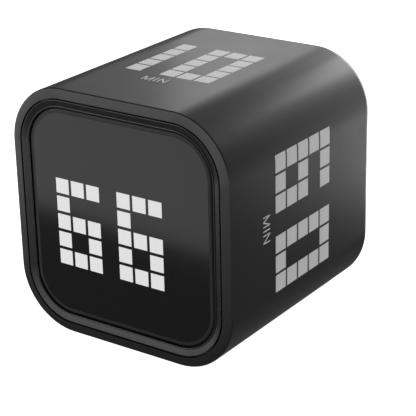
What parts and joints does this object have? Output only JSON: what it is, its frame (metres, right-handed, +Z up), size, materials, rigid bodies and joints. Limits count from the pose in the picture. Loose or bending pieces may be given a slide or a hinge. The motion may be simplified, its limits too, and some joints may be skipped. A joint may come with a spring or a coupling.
{
  "type": "countdown timer",
  "caption": "Cube-shaped digital countdown timer: turning it puts a printed time on top and starts it; a framed display shows the minutes left.",
  "frame": {"origin": "middle of the bottom side, on the surface the timer stands on", "axes": "+Z up, +X to the right when facing the display, the display faces -Y"},
  "size_m": [0.043, 0.045, 0.043],
  "materials": {
    "body_plastic": "fine satin moulded texture",
    "bezel_plastic": "satin",
    "lens_acrylic": "smoked gloss",
    "white_plastic": "milky",
    "inner_plastic": "moulded",
    "circuit_board": "solder mask",
    "chip_resin": "moulded resin",
    "connector_plastic": "moulded",
    "ribbon_film": "film",
    "cell_foil": "satin foil",
    "lead_red": "soft insulation",
    "lead_black": "soft insulation",
    "steel": "plated",
    "magnet_nickel": "nickel plated",
    "foam": "closed-cell foam",
    "control_plastic": "satin"
  },
  "bodies": {
    "housing": {"battery_cell": "cell_foil", "battery_lead_black": "lead_black", "battery_lead_red": "lead_red", "battery_plug": "connector_plastic", "battery_socket": "connector_plastic", "board_screw_1": "steel", "board_screw_2": "steel", "body_sleeve": "body_plastic", "buzzer": "chip_resin", "buzzer_gasket": "foam", "charge_coil": "chip_resin", "charge_controller": "chip_resin", "charging_port": "steel", "cover_screw_1": "steel", "cover_screw_2": "steel", "cover_screw_3": "steel", "cover_screw_4": "steel", "diffuser_sheet": "white_plastic", "display_board": "circuit_board", "display_driver": "chip_resin", "display_lens": "lens_acrylic", "display_ribbon": "ribbon_film", "display_ribbon_socket": "connector_plastic", "front_bezel": "bezel_plastic", "inner_chassis": "inner_plastic", "magnet_1": "magnet_nickel", "magnet_2": "magnet_nickel", "magnet_3": "magnet_nickel", "magnet_4": "magnet_nickel", "main_board": "circuit_board", "main_ribbon_socket": "connector_plastic", "microcontroller": "chip_resin", "pixel_mask": "inner_plastic", "rear_cover": "body_plastic", "slide_switch_body": "steel", "tact_switch_body": "chip_resin", "tilt_sensor": "chip_resin", "vibration_motor": "steel"},
    "mode_switch": {"mode_switch_knob": "control_plastic", "mode_switch_lever": "chip_resin"},
    "set_key": {"set_button": "control_plastic", "tact_switch_plunger": "chip_resin"}
  },
  "joints": [
    {"name": "mode_switch_slide", "type": "slide", "parent": "housing", "child": "mode_switch", "axis": [1, 0, 0], "range_m": [-0.0015, 0.0015]},
    {"name": "set_button_press", "type": "slide", "parent": "housing", "child": "set_key", "axis": [0, -1, 0], "range_m": [0, 0.0005], "stiffness_N_per_m": 400, "springref_m": -0.0005}
  ]
}
